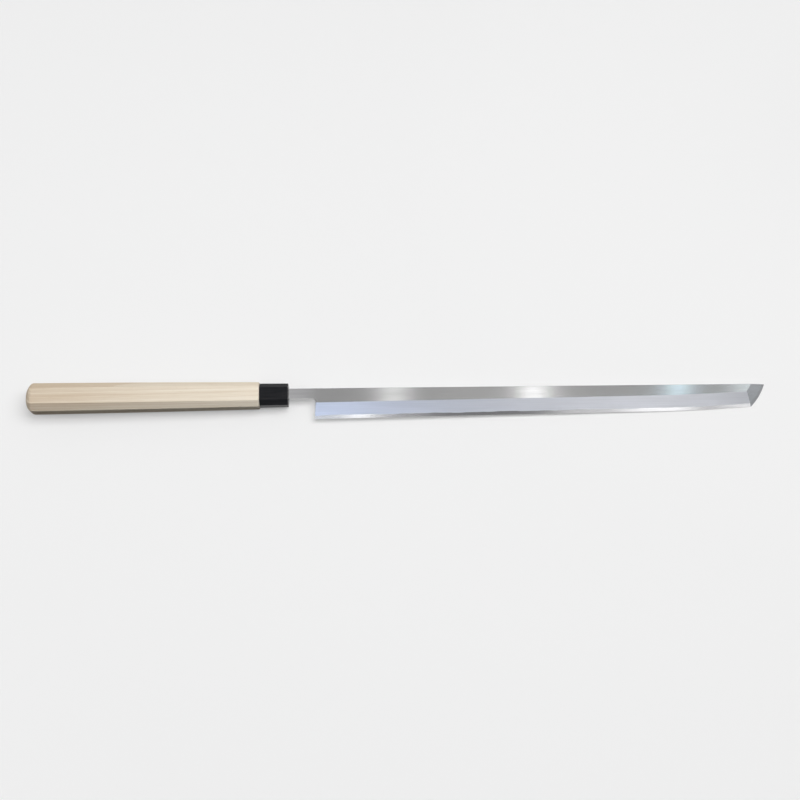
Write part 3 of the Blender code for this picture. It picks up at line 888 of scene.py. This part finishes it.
class Finish:
    """A node material with its shader, and short forms for the nodes that feed it."""

    def __init__(self, name, colour, roughness, metallic=0.0):
        self.material = bpy.data.materials.new(name)
        self.material.use_nodes = True
        self.tree = self.material.node_tree
        self.shader = self.tree.nodes["Principled BSDF"]
        self.set("Base Color", (*colour, 1.0))
        self.set("Roughness", roughness)
        self.set("Metallic", metallic)
        self.places = self.tree.nodes.new("ShaderNodeTexCoord").outputs["Object"]

    def set(self, socket, value):
        self.shader.inputs[socket].default_value = value

    def feed(self, socket, source):
        self.tree.links.new(source, self.shader.inputs[socket])

    def texture(self, kind, repeats, settings, shift=(0.0, 0.0, 0.0)):
        """A texture node over the object's own places, in metres, with so many repeats per metre."""
        mapping = self.tree.nodes.new("ShaderNodeMapping")
        mapping.inputs["Scale"].default_value = repeats
        mapping.inputs["Location"].default_value = shift
        self.tree.links.new(self.places, mapping.inputs["Vector"])
        node = self.tree.nodes.new(kind)
        node.inputs["Scale"].default_value = 1.0
        for socket, value in settings.items():
            node.inputs[socket].default_value = value
        self.tree.links.new(mapping.outputs["Vector"], node.inputs["Vector"])
        return node

    def noise(self, repeats, detail, roughness, distortion=0.0):
        settings = {"Detail": detail, "Roughness": roughness, "Distortion": distortion}
        return self.texture("ShaderNodeTexNoise", repeats, settings).outputs["Fac"]

    def rings(self, repeats, shift, distortion, detail, detail_scale):
        """Growth rings round a line along the knife."""
        settings = {"Distortion": distortion, "Detail": detail, "Detail Scale": detail_scale}
        node = self.texture("ShaderNodeTexWave", repeats, settings, shift)
        node.wave_type = "RINGS"
        node.rings_direction = "X"
        node.wave_profile = "SAW"
        return node.outputs["Fac"]

    def along(self):
        """Distance along the knife, in metres."""
        node = self.tree.nodes.new("ShaderNodeSeparateXYZ")
        self.tree.links.new(self.places, node.inputs[0])
        return node.outputs["X"]

    def between(self, source, low, high, to_low, to_high):
        return map_range(self.tree, source, low, high, to_low, to_high)

    def sum_of(self, *sources):
        return joined(self.tree, "ADD", sources)

    def ramp(self, source, *stops):
        return colour_ramp(self.tree, source, stops)

    def bump(self, source, depth):
        """Relief from a height of 0 to 1, as deep as said."""
        node = self.tree.nodes.new("ShaderNodeBump")
        node.inputs["Distance"].default_value = depth
        self.tree.links.new(source, node.inputs["Height"])
        self.feed("Normal", node.outputs["Normal"])


def steel(name, dark, bright, smooth, rough, line_depth):
    """Polished steel: clouds in its tone, and fine polishing lines in tone, gloss and relief."""
    finish = Finish(name, bright, smooth, 1.0)
    clouds = finish.noise(CLOUDS, 3.0, 0.55)
    lines = finish.noise(POLISHING_LINES, 2.0, 0.6)
    tone = finish.sum_of(
        finish.between(clouds, *NOISE_RANGE, 0.0, 0.6),
        finish.between(lines, *NOISE_RANGE, 0.0, 0.4),
    )
    finish.feed("Base Color", finish.ramp(tone, (0.1, dark), (0.9, bright)))
    finish.feed("Roughness", finish.between(tone, 0.1, 0.9, rough, smooth))
    finish.bump(lines, line_depth)
    return finish.material


def pale_wood():
    """Magnolia: straight fine grain, soft bands of growth, short pores, and painted shade that darkens it
    towards the butt.
    """
    finish = Finish("magnolia", (0.76, 0.66, 0.51), 0.5)
    finish.set("Specular IOR Level", 0.05)
    rings = finish.rings(GROWTH_RINGS, RINGS_SHIFT, 1.6, 2.0, 0.35)
    bands = finish.noise(GROWTH_BANDS, 3.0, 0.6, 0.3)
    fibres = finish.noise(FIBRES, 3.0, 0.65)
    pores = finish.noise(PORES, 1.0, 0.5)
    tone = finish.sum_of(
        finish.between(rings, 0.0, 1.0, 0.0, 0.22),
        finish.between(bands, *NOISE_RANGE, 0.0, 0.42),
        finish.between(fibres, *NOISE_RANGE, 0.0, 0.26),
        finish.between(pores, 0.2, 0.36, -0.12, 0.1),
        # painted shade: the tone falls from the front of the handle to the butt, standing in for light that
        # fades there
        finish.between(finish.along(), SHIFT.x, SHIFT.x + HANDLE_LENGTH, -0.36, 0.04),
    )
    finish.feed("Base Color", finish.ramp(
        tone,
        (0.05, (0.640, 0.520, 0.390)),
        (0.45, (0.760, 0.670, 0.545)),
        (0.95, (0.885, 0.820, 0.712)),
    ))
    finish.feed("Roughness", finish.between(tone, 0.0, 1.0, 0.62, 0.48))
    finish.bump(finish.sum_of(fibres, finish.between(pores, 0.2, 0.4, -0.6, 0.0)), 0.05 * MM)
    return finish.material


def black_horn():
    """Polished buffalo horn: nearly black, with faint warm streaks along it."""
    finish = Finish("buffalo_horn", (0.018, 0.018, 0.020), 0.28)
    finish.set("Specular IOR Level", 0.12)
    streaks = finish.noise(HORN_STREAKS, 3.0, 0.6, 0.4)
    grain = finish.noise(HORN_GRAIN, 2.0, 0.5)
    finish.feed("Base Color", finish.ramp(
        streaks,
        (0.35, (0.009, 0.010, 0.012)),
        (0.62, (0.015, 0.015, 0.017)),
        (0.80, (0.028, 0.025, 0.023)),
    ))
    finish.feed("Roughness", finish.between(streaks, *NOISE_RANGE, 0.18, 0.26))
    finish.bump(grain, 0.012 * MM)
    return finish.material


# Floor, light and camera

VIEW_TARGET = Vector((0.0045, -0.0018, 0.0143))
VIEW_DISTANCE = 1.5
VIEW_ELEVATION = math.radians(75)
VIEW_ROLL = math.radians(-0.83)
LENS = 63.37
SENSOR = 36.0

FLOOR_SIZE = 60.0
FLOOR_COLOUR = 0.54             # as it is seen and mirrored
FLOOR_BOUNCE = 0.14             # as it lights the knife
FLOOR_ROUGHNESS = 0.9
FLOOR_SPECULAR = 0.1

# Glow of the floor by its distance from the foot of the key lamp.
# It keeps the far floor pale, and lights nothing.
FLOOR_CENTRE = Vector((0.5, 0.3))
FLOOR_GLOW = (
    (0.0, 0.24), (0.5, 0.29), (1.0, 0.38), (1.5, 0.49),
    (2.0, 0.55), (3.0, 0.55), (4.5, 0.52), (6.0, 0.49),
)

# Brightness of the room by how far a direction points to the spine's side, from -1 to 1:
# what is seen and mirrored, and what lights matte surfaces
SKY_SEEN = ((-1.0, 0.56), (-0.6, 0.38), (-0.3, 0.19), (-0.1, 0.31), (0.2, 0.43), (0.5, 0.44), (1.0, 0.56))
SKY_LIGHT = ((-1.0, 0.07), (-0.3, 0.17), (0.2, 0.30), (1.0, 0.34))

# What is seen of the room at the level of the floor, and how high it reaches, where straight up is 1
HORIZON = 0.61
HORIZON_REACH = 0.7

# Soft lamps: place, width, length, radiance, tint, and turn about the knife's width in degrees
WHITE = (1.0, 1.0, 1.0)
MATTE_LAMPS = {
    "key": ((0.50, 0.28, 1.60), 1.6, 0.9, 5.9, WHITE, 0),
    "butt_end": ((-2.20, 0.10, 1.20), 1.4, 1.4, 1.75, WHITE, -57),
}
MIRRORED_LAMPS = {
    "front": ((0.51, -0.82, 1.50), 0.32, 0.5, 9.0, WHITE, 0),
    "window": ((-0.26, -0.76, 1.46), 0.57, 0.30, 6.1, (0.57, 0.71, 1.0), 0),
    "top": ((0.44, 0.165, 1.46), 0.34, 0.21, 5.4, WHITE, 0),
    "heel_panel": ((-0.18, -0.44, 1.46), 0.15, 0.24, 0.78, (0.95, 0.98, 1.0), 0),
    "heel_spot": ((-0.074, -0.41, 1.46), 0.030, 0.14, 4.2, WHITE, 0),
    "heel_halo": ((0.01, -0.36, 1.46), 0.13, 0.20, 0.34, WHITE, 0),
    "tip_halo": ((0.485, -0.19, 1.46), 0.31, 0.34, 0.62, WHITE, 0),
    "tip_panel": ((0.555, -0.12, 1.46), 0.17, 0.16, 1.0, WHITE, 0),
    "edge_panel": ((0.75, -0.045, 1.46), 0.18, 0.10, 1.5, WHITE, 0),
    "end_panel": ((1.25, 0.08, 1.46), 0.50, 0.40, 0.14, (0.80, 0.92, 1.0), 0),
    "neck_panel": ((-0.29, 0.39, 1.46), 0.20, 0.24, 0.22, (0.95, 0.95, 1.0), 0),
    "flat_panel": ((0.165, 0.39, 1.46), 0.13, 0.24, 0.11, (1.0, 0.98, 0.95), 0),
    "strip_near": ((0.006, 0.39, 1.46), 0.050, 0.22, 1.10, WHITE, 0),
    "strip_middle": ((0.304, 0.39, 1.46), 0.046, 0.22, 2.0, WHITE, 0),
    "strip_far": ((0.611, 0.39, 1.46), 0.026, 0.22, 2.4, (0.65, 0.88, 1.0), 0),
    "panel_far": ((0.83, 0.39, 1.46), 0.20, 0.24, 0.70, (0.84, 0.95, 1.0), 0),
}


def add_camera():
    data = bpy.data.cameras.new("camera")
    data.lens = LENS
    data.sensor_width = SENSOR
    camera = bpy.data.objects.new("camera", data)
    away = Vector((0.0, -math.cos(VIEW_ELEVATION), math.sin(VIEW_ELEVATION)))
    camera.location = VIEW_TARGET + away * VIEW_DISTANCE
    turn = away.to_track_quat("Z", "Y").to_matrix().to_3x3()
    roll = Vector((0.0, 0.0, 1.0))
    camera.rotation_euler = (turn @ Matrix.Rotation(VIEW_ROLL, 3, roll)).to_euler()
    bpy.context.scene.collection.objects.link(camera)
    bpy.context.scene.camera = camera


def add_floor():
    """The knife lies on the front edge of the wood and on its tip, so the floor leans by a degree."""
    front = Vector((WOOD_LOW.x + HANDLE_LENGTH - RIM_CHAMFER, 0.0, SHIFT.z - FRONT_DEPTH / 2))
    tip = Vector((SHIFT.x + X_POINT, 0.0, SHIFT.z + Z_BACK))
    lean = math.atan2(tip.z - front.z, tip.x - front.x)
    bm = bmesh.new()
    bmesh.ops.create_grid(bm, x_segments=1, y_segments=1, size=FLOOR_SIZE / 2)
    mesh = bpy.data.meshes.new("floor")
    bm.to_mesh(mesh)
    bm.free()
    floor = bpy.data.objects.new("floor", mesh)
    floor.rotation_euler = (0.0, -lean, 0.0)
    floor.location = (*FLOOR_CENTRE, front.z + (FLOOR_CENTRE.x - front.x) * math.tan(lean))
    bpy.context.scene.collection.objects.link(floor)
    material = bpy.data.materials.new("floor")
    material.use_nodes = True
    tree = material.node_tree
    shader = tree.nodes["Principled BSDF"]
    shader.inputs["Roughness"].default_value = FLOOR_ROUGHNESS
    shader.inputs["Specular IOR Level"].default_value = FLOOR_SPECULAR
    shader.inputs["Emission Color"].default_value = (1.0, 1.0, 1.0, 1.0)
    places = tree.nodes.new("ShaderNodeTexCoord")
    distance = tree.nodes.new("ShaderNodeVectorMath")
    distance.operation = "LENGTH"
    tree.links.new(places.outputs["Object"], distance.inputs[0])
    glow = level_ramp(tree, distance.outputs["Value"], FLOOR_GLOW)
    seen = seen_directly(tree)
    tree.links.new(mixed_by(tree, seen, FLOOR_BOUNCE, FLOOR_COLOUR), shader.inputs["Base Color"])
    tree.links.new(mixed_by(tree, seen, 0.0, glow), shader.inputs["Emission Strength"])
    mesh.materials.append(material)


def add_lamp(name, place, width, length, radiance, tint, turn, mirrored):
    """Soft lamp over the knife, turned to its length. Polished surfaces show only the mirrored ones."""
    data = bpy.data.lights.new(name, "AREA")
    data.shape = "RECTANGLE"
    data.size = width
    data.size_y = length
    data.color = tint
    data.energy = radiance * math.pi * width * length
    lamp = bpy.data.objects.new(name, data)
    lamp.location = place
    lamp.rotation_euler = (math.atan2(-place[1], place[2]), math.radians(turn), 0.0)
    lamp.visible_glossy = mirrored
    lamp.visible_diffuse = not mirrored
    bpy.context.scene.collection.objects.link(lamp)


def add_world():
    """Soft grey room, paler at the level of the floor."""
    world = bpy.data.worlds.new("studio")
    world.use_nodes = True
    tree = world.node_tree
    places = tree.nodes.new("ShaderNodeTexCoord")
    split = tree.nodes.new("ShaderNodeSeparateXYZ")
    tree.links.new(places.outputs["Generated"], split.inputs[0])
    light = level_ramp(tree, split.outputs["Y"], SKY_LIGHT)
    upward = map_range(tree, split.outputs["Z"], 0.0, HORIZON_REACH)
    seen = mixed_by(tree, upward, HORIZON, level_ramp(tree, split.outputs["Y"], SKY_SEEN))
    background = tree.nodes["Background"]
    background.inputs["Color"].default_value = (1.0, 1.0, 1.0, 1.0)
    tree.links.new(mixed_by(tree, seen_directly(tree), light, seen), background.inputs["Strength"])
    bpy.context.scene.world = world


build_blade(*[steel(name, *look) for name, look in STEELS.items()])
build_handle(pale_wood())
build_ferrule(black_horn())
add_floor()
add_world()
for mirrored, lamps in ((False, MATTE_LAMPS), (True, MIRRORED_LAMPS)):
    for name, lamp in lamps.items():
        add_lamp(name, *lamp, mirrored)
add_camera()
bpy.context.scene.view_settings.view_transform = "Standard"
